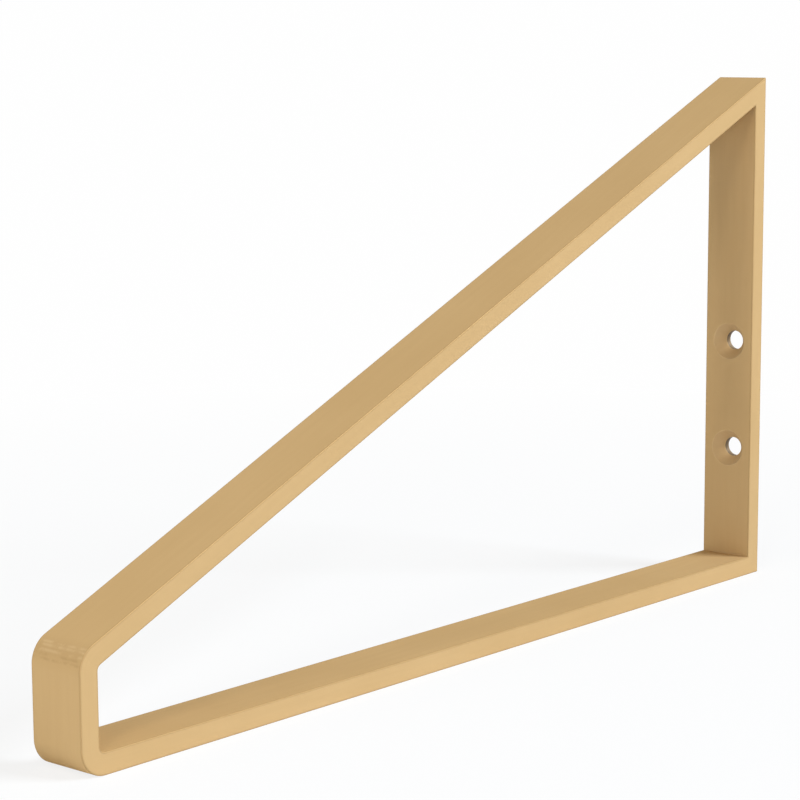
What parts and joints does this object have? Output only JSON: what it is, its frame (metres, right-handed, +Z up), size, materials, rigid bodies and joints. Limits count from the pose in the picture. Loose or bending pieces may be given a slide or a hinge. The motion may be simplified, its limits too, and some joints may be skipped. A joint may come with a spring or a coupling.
{
  "type": "gallows shelf bracket",
  "caption": "One-piece shelf bracket: a closed loop of flat bar with a screwed wall leg, a level arm, an upturned nose and a diagonal brace.",
  "frame": {"origin": "on the wall face of the wall leg, at its middle across the bar, midway between the two screw holes", "axes": "+Y into the wall, so the bracket reaches out towards -Y; +Z up; +X across the bar"},
  "size_m": [0.015, 0.255, 0.1389],
  "materials": {
    "satin_brass_finish": "fine brushed steel bar under a satin brass-coloured finish"
  },
  "bodies": {
    "root": {"bracket": "satin_brass_finish"}
  },
  "joints": []
}
